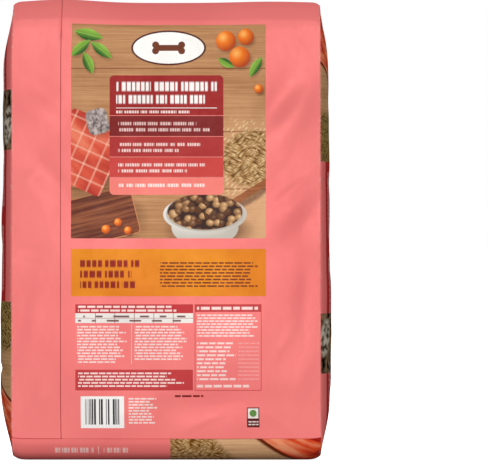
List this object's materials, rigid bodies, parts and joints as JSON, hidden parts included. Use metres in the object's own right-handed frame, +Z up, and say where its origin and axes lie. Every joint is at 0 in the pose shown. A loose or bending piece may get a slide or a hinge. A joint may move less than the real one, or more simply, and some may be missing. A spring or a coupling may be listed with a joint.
{
  "type": "pet food bag",
  "caption": "Filled and sealed side-gusseted pet food bag, standing upright, with a lap seam up its back and a turned-up bottom flap.",
  "frame": {"origin": "centre of the bag's bounding box on the surface that it stands on", "axes": "+Z up along the bag's height, +X across its panels, -Y out of the back panel that has the lap seam"},
  "size_m": [0.345, 0.1062, 0.4765],
  "materials": {
    "printed_film": "satin"
  },
  "bodies": {
    "root": {"bag": "printed_film"}
  },
  "joints": []
}
